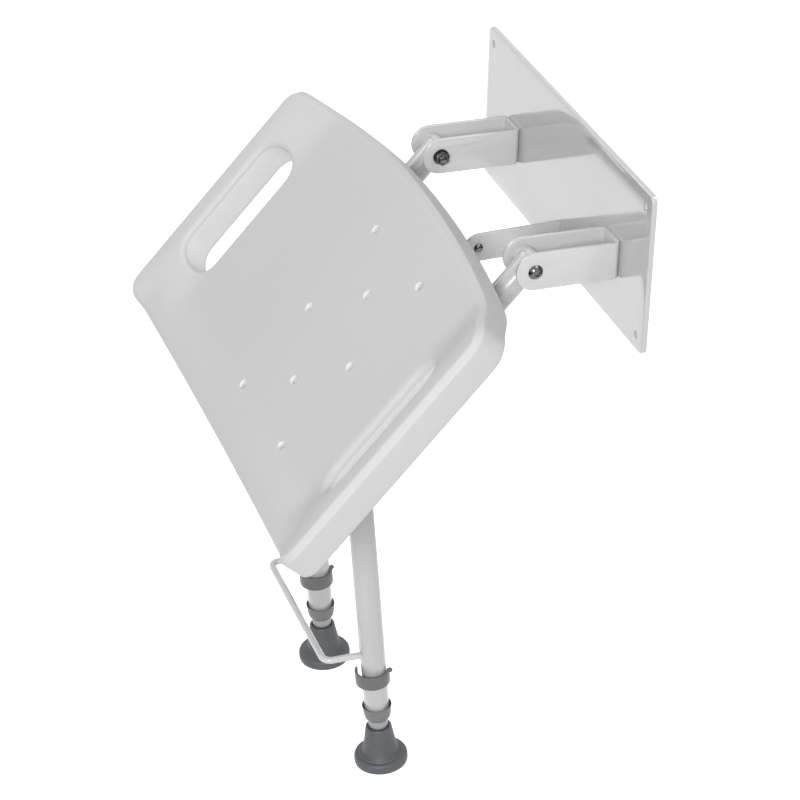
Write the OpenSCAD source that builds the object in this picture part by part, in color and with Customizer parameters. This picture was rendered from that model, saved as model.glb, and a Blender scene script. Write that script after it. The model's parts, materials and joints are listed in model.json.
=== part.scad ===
// Fold down wall seat: a moulded seat on a tube frame that hinges on a steel wall plate.
// A link keeps the two height-adjustable legs at one angle to the wall while the seat folds.
// Millimetres. X runs along the wall, +Y points into the wall, Z is up.
// The origin is the centre of the wall plate's back face.

/* [Wall plate] */
// width of the plate along the wall
plate_width = 420; // [340:5:520]
// height of the plate
plate_height = 162; // [130:1:220]
// thickness of the plate
plate_thick = 5; // [3:0.5:8]
// radius of the plate's corners
plate_corner = 8; // [2:1:20]
// radius of the rounded front edge of the plate
plate_edge = 1.6; // [0.5:0.1:2.5]
// distance between the screw holes along the wall
screw_span_x = 389; // [300:1:480]
// distance between the screw holes up the wall
screw_span_z = 131; // [90:1:190]
// radius of the four screw holes
screw_hole_r = 4.2; // [2.5:0.1:6]

/* [Hinge brackets] */
// distance between the middles of the two brackets
bracket_span = 260; // [200:1:300]
// thickness of the bent flat bar
bracket_bar = 4; // [3:0.5:6]
// clear width between the two cheeks
bracket_gap = 30; // [29:0.5:36]
// height of the flat bar
bracket_height = 37.2; // [30:0.2:50]
// outer radius of the two bends
bracket_bend = 6; // [4.5:0.5:10]
// distance of the fold axis from the wall
hinge_out = 89.1; // [88.5:0.1:110]
// distance of the fold axis below the middle of the plate
hinge_drop = 11.6; // [0:0.2:30]

/* [Hinge hardware] */
// radius of the hinge bolt
bolt_r = 4; // [3:0.5:6]
// radius of the domed head of the hinge bolt
bolt_head_r = 7.4; // [6:0.1:10]
// height of the domed head
bolt_head_h = 4.6; // [3:0.1:7]
// radius of the hexagon socket in the head
bolt_socket_r = 2.9; // [2:0.1:4]
// depth of the hexagon socket
bolt_socket_deep = 2.6; // [1.5:0.1:4]
// distance over the corners of the lock nut
nut_corners = 15; // [12:0.1:20]
// height of the lock nut
nut_h = 5.4; // [4:0.1:8]
// length of bolt that shows past the nut
bolt_past_nut = 0.8; // [0.4:0.1:3]
// radius of the washer
washer_r = 8.2; // [7.8:0.1:12]
// thickness of the washer
washer_h = 1.4; // [1:0.1:2.5]
// outer radius of the plastic bush in the frame tube
bush_r = 6; // [5.5:0.1:8]
// radius of the bush's flange
bush_flange_r = 9; // [8:0.1:12]
// thickness of the bush's flange
bush_flange_h = 2; // [1:0.1:2.2]

/* [Centre arm] */
// thickness of the arm's flat bar
arm_bar = 4; // [3:0.5:6]
// height of the arm's flat bar
arm_height = 28.8; // [24:0.2:36]
// distance of the arm's middle line below the middle of the plate, at the plate
arm_root_drop = 52.1; // [44:0.1:60]
// distance of the link pin straight below the fold axis
link_drop = 46.5; // [40:0.1:50]

/* [Seat panel] */
// width of the seat across its raised sides
seat_width = 562; // [480:2:640]
// distance of the seat's rear edge from the fold axis, at the middle
seat_rear = 20; // [16:0.5:40]
// how much further from the fold axis the rear edge is at the sides
seat_rear_bow = 26; // [0:0.5:40]
// distance of the front edge from the fold axis
seat_front = 330.5; // [315:0.5:360]
// thickness of the seat between its top and the lower rim of its skirt
seat_thick = 28.8; // [24:0.2:34]
// height of the seat's top over the fold axis, at the middle
seat_top = 70.8; // [68:0.2:74]
// how much lower the top is where the raised sides begin
seat_dip = 5; // [0:0.2:8]
// distance from the middle to where the raised sides begin
seat_flat_half = 200; // [170:1:220]
// height that the sides rise from the dip to the rim
rim_rise = 21.9; // [10:0.1:22]
// radius of the panel's four corners
seat_corner = 24; // [12:0.5:40]
// radius of the rounded top edge
seat_edge = 8.3; // [5:0.1:10]
// radius of the rounded lower edge
seat_low_edge = 2; // [1:0.1:3]
// wall of the moulding
seat_wall = 3.6; // [2.5:0.1:5]
// thickness of the ribs below the top
rib_thick = 3; // [2:0.1:4]
// spacing of the long ribs
rib_pitch = 96; // [70:1:110]
// how far the ribs stop above the lower rim of the skirt
rib_short = 3; // [0:0.5:8]
// distance from the middle of the seat to the inner side of a hand slot
slot_in = 208.5; // [190:0.5:220]
// width of a hand slot
slot_width = 46; // [36:0.5:50]
// distance of the rear end of a hand slot from the fold axis
slot_rear = 106; // [90:1:120]
// distance of the front end of a hand slot from the fold axis
slot_front = 262; // [240:1:280]
// wall around a hand slot
slot_wall = 3.6; // [2.5:0.1:5]
// radius of the drain holes
drain_r = 4; // [2:0.1:6]
// distance of the outer drain holes from the middle of the seat
drain_outer = 119; // [90:1:140]
// distance of the offset drain holes from the middle of the seat
drain_inner = 63.5; // [40:1:80]
// distance of the first row of drain holes from the fold axis
drain_first = 79; // [60:1:100]
// spacing of the rows of drain holes
drain_pitch = 99; // [80:1:110]
// how far the offset drain holes lie behind the first row
drain_shift = 45; // [20:1:60]

/* [Seat frame] */
// outer radius of the side and front tubes
frame_tube_r = 12.7; // [11:0.1:14]
// wall of the side and front tubes
frame_tube_wall = 1.6; // [1:0.1:2.5]
// distance the side tubes reach behind the fold axis
side_back = 11; // [9:0.5:20]
// distance of the front ends of the side tubes from the fold axis
side_front = 304; // [300:1:315]
// distance of the front tube from the fold axis
front_tube_at = 288; // [280:1:295]
// outer radius of the cross rails that carry the seat
rail_r = 11.1; // [9:0.1:13]
// wall of the cross rails
rail_wall = 1.6; // [1:0.1:2.5]
// half the length of a cross rail
rail_half = 150; // [145:1:180]
// depth of the saddle cut where a rail sits on a side tube
rail_saddle = 2; // [1:0.1:4]
// distance of the rear rail from the fold axis
rail_rear_at = 92; // [84:1:100]
// distance of the front rail from the fold axis
rail_front_at = 252; // [230:1:260]
// distance of the seat screws from the middle
seat_screw_at = 96; // [85:1:108]
// height of the dome on a tube plug
plug_dome = 2.6; // [1:0.1:5]
// length of a tube plug inside its tube
plug_deep = 3.5; // [2.5:0.1:4]

/* [Seat screws] */
// radius of the seat screws
screw_r = 3; // [2:0.1:4]
// radius of the screw head
screw_head_r = 5.6; // [4:0.1:8]
// height of the screw head
screw_head_h = 3.2; // [2:0.1:5]
// how deep a screw reaches into the seat's boss
screw_in_boss = 16; // [10:0.5:20]
// outer radius of the bosses under the seat
boss_r = 9; // [7:0.2:12]

/* [Leg pivot] */
// distance of the leg pivot from the fold axis along the frame
pivot_at = 275.4; // [270:0.1:285]
// distance of the leg pivot below the frame
pivot_below = 46.5; // [40:0.1:50]
// half width of the pivot plates
plate_arm_r = 10; // [9:0.1:12]
// thickness of the pivot plates
pivot_plate_t = 4; // [3:0.5:6]
// distance of the inner faces of the pivot plates from the middle
pivot_plate_at = 108; // [106:0.5:112]
// outer radius of the tube that joins the tops of the legs
pivot_tube_r = 11.1; // [10:0.1:13]
// wall of that tube
pivot_tube_wall = 1.6; // [1:0.1:2.5]
// length of the threaded inserts in its ends
insert_long = 16; // [10:0.5:24]
// radius of the pivot bolts
pivot_bolt_r = 4; // [3:0.5:5]
// radius of the pivot bolt's head
pivot_head_r = 5.4; // [5:0.1:7]
// height of the pivot bolt's head
pivot_head_h = 3; // [2:0.1:5]
// thickness of the pivot bush's flange
pivot_flange_h = 1.5; // [1:0.1:2]
// outer radius of the pivot bush's flange
pivot_flange_r = 8; // [7:0.1:10]

/* [Legs] */
// outer radius of the leg tubes
leg_r = 12.7; // [11:0.1:14]
// wall of the leg tubes
leg_wall = 1.5; // [1:0.1:2]
// distance of a leg's middle line from the middle, at the pivot
leg_top_x = 90.4; // [86:0.1:91]
// angle of the legs toward the wall
leg_rake = 4.97; // [0:0.01:8]
// angle at which the legs spread
leg_splay = 0.92; // [0:0.01:2]
// distance from the pivot to the cut top of a leg
leg_cut = 4; // [2:0.5:8]
// distance from the pivot to the bottom end of a leg tube
leg_end = 255.5; // [240:0.5:280]
// outer radius of the inner tubes
inner_r = 10; // [9:0.1:10.5]
// wall of the inner tubes
inner_wall = 1.5; // [1:0.1:2]
// distance from the pivot to the top of an inner tube
inner_top = 62; // [40:1:80]
// distance from the pivot to the bottom of an inner tube
inner_end = 326; // [315:0.5:330]
// spacing of the height holes
height_pitch = 20; // [15:1:25]
// number of height holes
height_holes = 6; // [3:1:8]
// length of the glide on top of an inner tube
glide_long = 9; // [6:0.5:15]
// height of the glide's rim over the end of the inner tube
glide_rim = 3; // [2:0.5:5]

/* [Foot rail] */
// radius of the bent rod between the legs
rod_r = 3.4; // [2.5:0.1:5]
// distance of the rod below the leg pivot
rod_below = 199; // [180:0.5:210]
// distance of the rod's run from the wall
rod_out = 270.2; // [255:0.2:285]
// radius of the rod's bends
rod_bend = 9; // [6:0.5:15]

/* [End bushes] */
// largest radius of an end bush
end_bush_r = 14.7; // [13.5:0.1:15]
// distance from the pivot to the top of an end bush
end_bush_top = 252; // [245:0.5:255]
// distance from the pivot to the bottom of an end bush
end_bush_low = 284.4; // [270:0.5:287]
// length of the bush inside the leg tube
end_bush_in = 9; // [6:0.5:10]
// height of the bush's parallel part
end_bush_band = 14; // [8:0.5:20]

/* [Height clips] */
// distance from the leg pivot to the middle of a clip
clip_at = 229.4; // [220:0.2:236]
// height of a clip
clip_high = 30; // [24:0.5:34]
// wall of a clip
clip_wall = 2.5; // [1.5:0.1:4]
// gap between a clip and its leg
clip_gap = 0.3; // [0.2:0.05:0.6]
// length of the straight lips of a clip
clip_lip = 4; // [2:0.5:8]
// radius of the ball at the end of a clip
clip_ball_r = 3.2; // [2:0.1:5]
// radius of the clip's pin
pin_r = 3; // [2:0.1:4]

/* [Feet] */
// distance from the pivot to the top of a foot
foot_top_at = 287.4; // [286:0.2:300]
// distance from the pivot to the underside of a foot
foot_low_at = 332.8; // [330:0.2:345]
// radius of the top of a foot
foot_top_r = 12.7; // [11:0.1:15]
// radius of the foot above its flange
foot_neck_r = 18; // [15:0.1:22]
// radius of the flange that stands on the floor
foot_flange_r = 27.2; // [22:0.1:32]
// height of the flange
foot_flange_h = 10; // [5:0.2:14]

/* [Link] */
// thickness of the link's flat bar
link_bar_t = 4; // [3:0.5:6]
// height of the link's flat bar
link_high = 16; // [12:0.5:20]
// thickness of the washers beside the link
link_washer_h = 1; // [0.6:0.1:2]
// radius of the link's bolts
link_bolt_r = 3; // [2.5:0.1:4]
// radius of the head of a link bolt
link_head_r = 4.8; // [4:0.1:6]
// height of the head of a link bolt
link_head_h = 3.4; // [2:0.1:5]
// distance over the corners of a link nut
link_nut_corners = 11.4; // [9:0.1:14]
// height of a link nut
link_nut_h = 5; // [3:0.1:7]
// half width of the lug on the pivot tube
lug_r = 9; // [7:0.1:11]
// length of the rubber stop on the link
stop_long = 14; // [8:0.5:24]

/* [Fits] */
// clearance of every running fit, on the radius
run_gap = 0.05; // [0.02:0.01:0.1]
// clearance of faces that run past each other
face_gap = 0.3; // [0.1:0.05:0.5]

/* [Rest position] */
// angle below the horizontal at which the seat hangs on its stop
fold_drop = 48.4; // [30:0.1:52]

/* [Hidden] */
$fn = 96;
// overrun of every cut
over = 1;
// overrun of cuts that pass right through the part
far = 400;
bracket_out = bracket_gap / 2 + bracket_bar;
bracket_end_r = bracket_height / 2;
bracket_x = bracket_span / 2;
bush_half = frame_tube_r + bush_flange_h;
nut_in = bracket_out + washer_h;
bolt_in = nut_in + nut_h + bolt_past_nut;
seat_half = seat_width / 2;
frame_tube_ri = frame_tube_r - frame_tube_wall;
rail_ri = rail_r - rail_wall;
rail_up = frame_tube_r + rail_r - rail_saddle;
rail_top = rail_up + rail_r;
pivot_y = -hinge_out - pivot_at * cos(fold_drop) + pivot_below * sin(fold_drop);
pivot_z = -hinge_drop - pivot_at * sin(fold_drop) - pivot_below * cos(fold_drop);
pivot_tube_ri = pivot_tube_r - pivot_tube_wall;
pivot_tube_half = pivot_plate_at - pivot_flange_h - face_gap;
link_long = sqrt(pivot_at * pivot_at + pivot_below * pivot_below);
link_angle = fold_drop + atan(pivot_below / pivot_at);
link_pin_z = -hinge_drop - link_drop;
link_in = arm_bar / 2 + link_washer_h;
link_x = link_in + link_bar_t;
stop_along = link_drop * sin(link_angle);
stop_high = link_drop * cos(link_angle) - pivot_tube_r - link_high / 2 - face_gap;
leg_ri = leg_r - leg_wall;
inner_ri = inner_r - inner_wall;
clip_ri = leg_r + clip_gap;
clip_ro = clip_ri + clip_wall;
arm_long = norm([hinge_out - plate_thick, link_pin_z + arm_root_drop]);
arm_slope = asin((arm_root_drop + link_pin_z) / -arm_long);

// Places of the moving groups

module at_fold() {
    translate([0, -hinge_out, -hinge_drop]) children();
}

// seat frame: -Y runs from the fold axis to the front edge, Z points up out of the seat
module in_seat() {
    at_fold() rotate([fold_drop, 0, 0]) children();
}

module at_pivot() {
    translate([0, pivot_y, pivot_z]) children();
}

// leg frame: the pivot is at the origin and -Z runs down the leg
module in_leg(side) {
    at_pivot() translate([side * leg_top_x, 0, 0]) rotate([leg_rake, -side * leg_splay, 0]) children();
}

// link frame: the pin in the arm is at the origin and -Y runs to the pin in the lug
module in_link() {
    translate([0, -hinge_out, link_pin_z]) rotate([link_angle, 0, 0]) children();
}

// Shared shapes

module both() {
    for (side = [-1, 1]) scale([side, 1, 1]) children();
}

module rod_x(r, x0, x1) {
    translate([x0, 0, 0]) rotate([0, 90, 0]) cylinder(r = r, h = x1 - x0);
}

module rod_y(r, y0, y1) {
    translate([0, y1, 0]) rotate([90, 0, 0]) cylinder(r = r, h = y1 - y0);
}

module rod_down(r, s0, s1) {
    translate([0, 0, -s1]) cylinder(r = r, h = s1 - s0);
}

module hex_x(corners, x0, x1) {
    translate([x0, 0, 0]) rotate([0, 90, 0]) cylinder(d = corners, h = x1 - x0, $fn = 6);
}

module round_rect(wide, high, r) {
    square([wide - 2 * r, high], center = true);
    square([wide, high - 2 * r], center = true);
    for (sx = [-1, 1], sy = [-1, 1]) translate([sx * (wide / 2 - r), sy * (high / 2 - r)]) circle(r = r);
}

// a cap of a ball on the plane z = 0, r wide and high above it
module dome(r, high) {
    ball = (r * r + high * high) / (2 * high);
    rotate_extrude() intersection() {
        translate([0, high - ball]) circle(r = ball);
        square([r, high]);
    }
}

// a plug that fills a tube end at z = 0 and shows its dome above it
module tube_plug(ro, ri) {
    dome(ro, plug_dome);
    translate([0, 0, -plug_deep]) cylinder(r = ri, h = plug_deep);
}

// Wall plate and what is fixed to it

module wall_plate() {
    color("white") difference() {
        translate([0, -plate_thick, 0]) rotate([-90, 0, 0]) {
            translate([0, 0, plate_edge]) linear_extrude(plate_thick - plate_edge)
                round_rect(plate_width, plate_height, plate_corner);
            linear_extrude(plate_edge)
                round_rect(plate_width - plate_edge, plate_height - plate_edge, plate_corner);
        }
        for (sx = [-1, 1], sz = [-1, 1])
            translate([sx * screw_span_x / 2, 0, sz * screw_span_z / 2])
                rod_y(screw_hole_r, -plate_thick - over, over);
    }
}

module bracket(side) {
    color("white") translate([side * bracket_x, 0, -hinge_drop]) difference() {
        intersection() {
            bracket_u();
            bracket_profile();
        }
        translate([0, -hinge_out, 0]) rod_x(bolt_r + run_gap, -bracket_out - over, bracket_out + over);
    }
}

// the bent bar seen from above
module bracket_u() {
    deep = hinge_out + bracket_end_r;
    inner_bend = bracket_bend - bracket_bar;
    translate([0, 0, -bracket_end_r]) linear_extrude(bracket_height) difference() {
        translate([0, -plate_thick - deep]) round_rect(2 * bracket_out, 2 * deep, bracket_bend);
        translate([0, -plate_thick - bracket_bar - deep]) round_rect(bracket_gap, 2 * deep, inner_bend);
    }
}

// the cheeks seen from the side, rounded about the hinge bolt
module bracket_profile() {
    translate([-bracket_out - over, 0, 0]) rotate([0, 0, 0]) union() {
        translate([0, -hinge_out, -bracket_end_r])
            cube([2 * (bracket_out + over), hinge_out - plate_thick, bracket_height]);
        translate([0, -hinge_out, 0]) rod_x(bracket_end_r, 0, 2 * (bracket_out + over));
    }
}

module bracket_left() {
    bracket(-1);
}

module bracket_right() {
    bracket(1);
}

module centre_arm() {
    color("white") difference() {
        translate([-arm_bar / 2, -hinge_out, link_pin_z]) rotate([-arm_slope, 0, 0]) {
            rod_x(arm_height / 2, 0, arm_bar);
            translate([0, 0, -arm_height / 2]) cube([arm_bar, arm_long + over, arm_height]);
        }
        translate([-arm_bar, -plate_thick, -plate_height]) cube([2 * arm_bar, far, 2 * plate_height]);
        translate([0, -hinge_out, link_pin_z]) rod_x(link_bolt_r + run_gap, -arm_bar, arm_bar);
    }
}

module hinge_bolts() {
    color("silver") both() translate([bracket_x, 0, 0]) at_fold() difference() {
        union() {
            rod_x(bolt_r, -bolt_in, bracket_out);
            translate([bracket_out, 0, 0]) rotate([0, 90, 0]) dome(bolt_head_r, bolt_head_h);
        }
        hex_x(2 * bolt_socket_r, bracket_out + bolt_head_h - bolt_socket_deep, bracket_out + bolt_head_h + over);
    }
}

module hinge_washers() {
    color("silver") both() translate([bracket_x, 0, 0]) at_fold() difference() {
        rod_x(washer_r, -nut_in, -bracket_out);
        rod_x(bolt_r + run_gap, -nut_in - over, -bracket_out + over);
    }
}

module hinge_nuts() {
    color("silver") both() translate([bracket_x, 0, 0]) at_fold() difference() {
        hex_x(nut_corners, -nut_in - nut_h, -nut_in);
        rod_x(bolt_r, -nut_in - nut_h - over, -nut_in + over);
    }
}

module link_bolt() {
    rod_x(link_bolt_r, -link_x - face_gap - link_nut_h, arm_bar / 2);
    translate([arm_bar / 2, 0, 0]) rotate([0, 90, 0]) dome(link_head_r, link_head_h);
}

module link_nut() {
    difference() {
        hex_x(link_nut_corners, -link_x - face_gap - link_nut_h, -link_x - face_gap);
        rod_x(link_bolt_r, -link_x - face_gap - link_nut_h - over, -link_x);
    }
}

module arm_bolt() {
    color("silver") translate([0, -hinge_out, link_pin_z]) link_bolt();
}

module arm_nut() {
    color("silver") translate([0, -hinge_out, link_pin_z]) link_nut();
}

// Seat frame

module hinge_bushes() {
    color("dimgray") both() translate([bracket_x, 0, 0]) at_fold() difference() {
        union() {
            rod_x(bush_r, -bush_half, bush_half);
            for (sx = [-1, 1]) scale([sx, 1, 1]) rod_x(bush_flange_r, frame_tube_r, bush_half);
        }
        rod_x(bolt_r + run_gap, -bush_half - over, bush_half + over);
    }
}

module side_tube(side) {
    color("white") in_seat() translate([side * bracket_x, 0, 0]) difference() {
        rod_y(frame_tube_r, -side_front, side_back);
        rod_y(frame_tube_ri, -side_front - over, side_back + over);
        rod_x(bush_r, -frame_tube_r - over, frame_tube_r + over);
    }
}

module side_tube_left() {
    side_tube(-1);
}

module side_tube_right() {
    side_tube(1);
}

module front_tube() {
    color("white") in_seat() difference() {
        translate([0, -front_tube_at, 0]) difference() {
            rod_x(rail_r, -bracket_x, bracket_x);
            rod_x(rail_ri, -bracket_x - over, bracket_x + over);
        }
        both() translate([bracket_x, 0, 0]) rod_y(frame_tube_r, -side_front - far, 0);
    }
}

module cross_rails() {
    color("white") in_seat() for (v = [rail_rear_at, rail_front_at]) difference() {
        translate([0, -v, rail_up]) rod_x(rail_r, -rail_half, rail_half);
        translate([0, -v, rail_up]) rod_x(rail_ri, -rail_half - over, rail_half + over);
        both() translate([bracket_x, 0, 0]) rod_y(frame_tube_r, -side_front, 0);
        both() translate([seat_screw_at, -v, 0]) cylinder(r = screw_r + run_gap, h = rail_top + over);
    }
}

module frame_plugs() {
    color("dimgray") both() in_seat() translate([bracket_x, 0, 0]) {
        translate([0, side_back, 0]) rotate([-90, 0, 0]) tube_plug(frame_tube_r, frame_tube_ri);
        translate([0, -side_front, 0]) rotate([90, 0, 0]) tube_plug(frame_tube_r, frame_tube_ri);
    }
}

module rail_plugs() {
    color("dimgray") both() in_seat() for (v = [rail_rear_at, rail_front_at])
        translate([rail_half, -v, rail_up]) rotate([0, 90, 0]) tube_plug(rail_r, rail_ri);
}

// the two plates under the front tube, with a round end about the leg pivot
module pivot_plates() {
    lean = atan((front_tube_at - pivot_at) / pivot_below);
    reach = norm([front_tube_at - pivot_at, pivot_below]);
    color("white") both() in_seat() difference() {
        translate([pivot_plate_at, -pivot_at, -pivot_below]) rotate([lean, 0, 0]) {
            rod_x(plate_arm_r, 0, pivot_plate_t);
            translate([0, -plate_arm_r, 0]) cube([pivot_plate_t, 2 * plate_arm_r, reach]);
        }
        translate([0, -front_tube_at, 0]) rod_x(rail_r, 0, far);
        translate([0, -pivot_at, -pivot_below]) rod_x(bush_r, 0, far);
    }
}

module pivot_bushes() {
    inner = pivot_plate_at - pivot_flange_h;
    outer = pivot_plate_at + pivot_plate_t;
    color("dimgray") both() at_pivot() difference() {
        union() {
            rod_x(bush_r, inner, outer);
            rod_x(pivot_flange_r, inner, pivot_plate_at);
        }
        rod_x(pivot_bolt_r + run_gap, inner - over, outer + over);
    }
}

// Seat panel

// height of the panel's top at the distance a from the middle
function top_at(a) =
    a < seat_flat_half ? seat_top - seat_dip * (1 - cos(180 * a / seat_flat_half)) / 2
    : seat_top - seat_dip + rim_rise * ease((a - seat_flat_half) / (seat_half - seat_edge - seat_flat_half));

function ease(t) = t > 1 ? 1 : t * t * (3 - 2 * t);

// distance of the rear edge from the fold axis
function rear_at(a) = seat_rear + seat_rear_bow * pow(a / seat_half, 2);

// how far a corner of radius r sets the edge back, on a panel of the given half width
function set_back(a, half, r) = a < half - r ? 0 : r - sqrt(max(0, r * r - pow(a - half + r, 2)));

// one rounded section across the panel, as points along the panel's depth and height
function section(u, inset, extra_drop) =
    let (a = abs(u), half = seat_half - inset, r = seat_edge - inset, rl = seat_low_edge,
         top = top_at(a) - inset, low = top_at(a) - seat_thick - extra_drop,
         t0 = a > half - r ? acos(max(-1, 1 - (half - a) / r)) : 90,
         b0 = a > half - rl ? acos(max(-1, 1 - (half - a) / rl)) : 90,
         rear = rear_at(a) + inset, front = seat_front - inset, c = seat_corner - inset,
         ring = concat([for (k = [0:arc_steps]) let (t = t0 * k / arc_steps)
                           [r * (1 - cos(t)), top - r * (1 - sin(t))]]),
         lows = [for (k = [0:low_steps]) let (t = b0 * (1 - k / low_steps))
                    [rl * (1 - cos(t)), low + rl * (1 - sin(t))]])
    concat(
        [for (p = concat(lows, ring)) [u, -(rear + p[0] + set_back(a, half - p[0], c - p[0])), p[1]]],
        [for (i = [len(ring) - 1:-1:0]) let (p = ring[i])
            [u, -(front - p[0] - set_back(a, half - p[0], c - p[0])), p[1]]],
        [for (i = [len(lows) - 1:-1:0]) let (p = lows[i])
            [u, -(front - p[0] - set_back(a, half - p[0], c - p[0])), p[1]]]);

arc_steps = 5;
low_steps = 2;
edge_steps = 5;
corner_steps = 3;
side_steps = 8;
flat_steps = 6;
rib_steps = 4;
// number of facets of a round form in the panel
round_steps = 20;
slot_steps = 40;
// how deep the tops of ribs, bosses and slot walls lie in the skin, as shares of its thickness
long_share = 0.4;
cross_share = 0.55;
slot_share = 0.7;
boss_share = 0.25;
// smallest width of a section at the ends of the panel
end_step = 0.1;

// distances from the middle at which the panel is cut into sections, from the side inwards
function stations(inset) =
    let (half = seat_half - inset, r = seat_edge - inset, c = seat_corner - inset)
    concat([for (k = [0:edge_steps]) half - max(end_step, r * (1 - cos(90 * k / edge_steps)))],
           [for (k = [1:corner_steps]) half - r - (c - r) * k / corner_steps],
           [for (k = [1:side_steps]) half - c - (half - c - seat_flat_half) * k / side_steps],
           [for (k = [1:flat_steps]) seat_flat_half * (1 - k / flat_steps)]);

// the panel as a skin over its sections; the cavity is the same shape set in and let down
module panel_body(inset, extra_drop) {
    outer = stations(inset);
    count = len(outer);
    us = concat([for (i = [0:count - 1]) -outer[i]], [for (i = [count - 2:-1:0]) outer[i]]);
    rows = [for (u = us) section(u, inset, extra_drop)];
    m = len(rows[0]);
    n = len(rows);
    polyhedron(
        points = [for (row = rows) each row],
        faces = concat(
            [for (i = [0:n - 2], j = [0:m - 1])
                [(i + 1) * m + j, (i + 1) * m + (j + 1) % m, i * m + (j + 1) % m, i * m + j]],
            [[for (j = [0:m - 1]) j]],
            [[for (j = [m - 1:-1:0]) (n - 1) * m + j]]),
        convexity = 6);
}

// a hand slot's outline, grown by the given width
module slot_outline(grow) {
    r = slot_width / 2;
    mid = slot_in + r;
    translate([mid, -slot_rear - r]) circle(r = r + grow, $fn = slot_steps);
    translate([mid, -slot_front + r]) circle(r = r + grow, $fn = slot_steps);
    translate([mid - r - grow, -slot_front + r]) square([2 * (r + grow), slot_front - slot_rear - 2 * r]);
}

module drain_places() {
    for (row = [0, 1, 2]) {
        translate([0, -drain_first - row * drain_pitch, 0]) children();
        translate([drain_outer, -drain_first - row * drain_pitch, 0]) children();
    }
    for (row = [0, 1]) translate([drain_inner, -drain_first - drain_shift - row * (drain_pitch + 8), 0]) children();
}

module boss_places() {
    both() for (v = [rail_rear_at, rail_front_at]) translate([seat_screw_at, -v, 0]) children();
}

// ribs below the top: long ones from rear to front, and one across over each rail
module ribs() {
    high = seat_thick - rib_short - seat_wall;
    for (k = [-1.5:1.5]) {
        u = k * rib_pitch;
        sunk = long_share * seat_wall;
        long = seat_front - rear_at(abs(u)) - 2 * sunk;
        translate([u - rib_thick / 2, sunk - seat_front, top_at(abs(u)) - sunk - high])
            cube([rib_thick, long, high]);
    }
    us = [for (k = [-rib_steps:rib_steps]) (slot_in - slot_wall / 2) * k / rib_steps];
    for (v = [rail_rear_at, rail_front_at]) translate([0, rib_thick / 2 - v, 0]) rotate([90, 0, 0])
        linear_extrude(rib_thick) polygon(concat(
            [for (u = us) [u, top_at(abs(u)) - cross_share * seat_wall]],
            [for (u = us) [-u, top_at(abs(u)) - seat_wall - high]]));
}

module seat_panel() {
    color("whitesmoke") in_seat() difference() {
        union() {
            difference() {
                panel_body(0, 0);
                panel_body(seat_wall, over + seat_thick);
            }
            intersection() {
                panel_body(slot_share * seat_wall, -rib_short);
                both() linear_extrude(far) slot_outline(slot_wall);
            }
            ribs();
            boss_places() translate([0, 0, rail_top])
                cylinder(r = boss_r, h = top_at(seat_screw_at) - boss_share * seat_wall - rail_top, $fn = round_steps);
        }
        both() linear_extrude(far) slot_outline(0);
        drain_places() cylinder(r = drain_r, h = far, $fn = round_steps);
        boss_places() translate([0, 0, rail_top - over])
            cylinder(r = screw_r, h = screw_in_boss + 2 * over, $fn = round_steps);
    }
}

module seat_screws() {
    color("silver") in_seat() boss_places() {
        translate([0, 0, rail_up - rail_r]) cylinder(r = screw_r, h = 2 * rail_r + screw_in_boss);
        translate([0, 0, rail_up - rail_r]) rotate([180, 0, 0]) dome(screw_head_r, screw_head_h);
    }
}

// Legs

module pivot_tube() {
    color("white") at_pivot() difference() {
        rod_x(pivot_tube_r, -pivot_tube_half, pivot_tube_half);
        rod_x(pivot_tube_ri, -pivot_tube_half - over, pivot_tube_half + over);
    }
}

module pivot_inserts() {
    color("silver") both() at_pivot() difference() {
        rod_x(pivot_tube_ri, pivot_tube_half - insert_long, pivot_tube_half);
        rod_x(pivot_bolt_r, pivot_tube_half - insert_long - over, pivot_tube_half + over);
    }
}

module pivot_bolts() {
    face = pivot_plate_at + pivot_plate_t + face_gap;
    color("silver") both() at_pivot() {
        rod_x(pivot_bolt_r, pivot_tube_half - insert_long, face);
        translate([face, 0, 0]) rotate([0, 90, 0]) dome(pivot_head_r, pivot_head_h);
    }
}

module pivot_lug() {
    color("white") at_pivot() difference() {
        union() {
            translate([0, 0, -link_drop]) rod_x(lug_r, -arm_bar / 2, arm_bar / 2);
            translate([-arm_bar / 2, -lug_r, -link_drop]) cube([arm_bar, 2 * lug_r, link_drop]);
        }
        rod_x(pivot_tube_r, -arm_bar, arm_bar);
        translate([0, 0, -link_drop]) rod_x(link_bolt_r + run_gap, -arm_bar, arm_bar);
    }
}

module leg(side) {
    color("white") difference() {
        in_leg(side) difference() {
            rod_down(leg_r, leg_cut, leg_end);
            rod_down(leg_ri, leg_cut - over, leg_end + over);
            translate([0, 0, -clip_at]) rod_x(pin_r + run_gap, 0, leg_r + over);
        }
        at_pivot() rod_x(pivot_tube_r, -far, far);
    }
}

module leg_left() {
    leg(-1);
}

module leg_right() {
    leg(1);
}

module foot_rail() {
    slope = tan(leg_splay) * rod_below;
    arm_x = leg_top_x + slope;
    leg_y = pivot_y + tan(leg_rake) * rod_below;
    color("white") difference() {
        translate([0, -rod_out, pivot_z - rod_below]) {
            rod_x(rod_r, -arm_x + rod_bend, arm_x - rod_bend);
            both() {
                translate([arm_x - rod_bend, rod_bend, 0]) rotate([0, 0, -90])
                    rotate_extrude(angle = 90) translate([rod_bend, 0]) circle(r = rod_r);
                translate([arm_x, 0, 0]) rod_y(rod_r, rod_bend, leg_y + rod_out);
            }
        }
        for (side = [-1, 1]) in_leg(side) rod_down(leg_r, 0, leg_end);
    }
}

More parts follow.
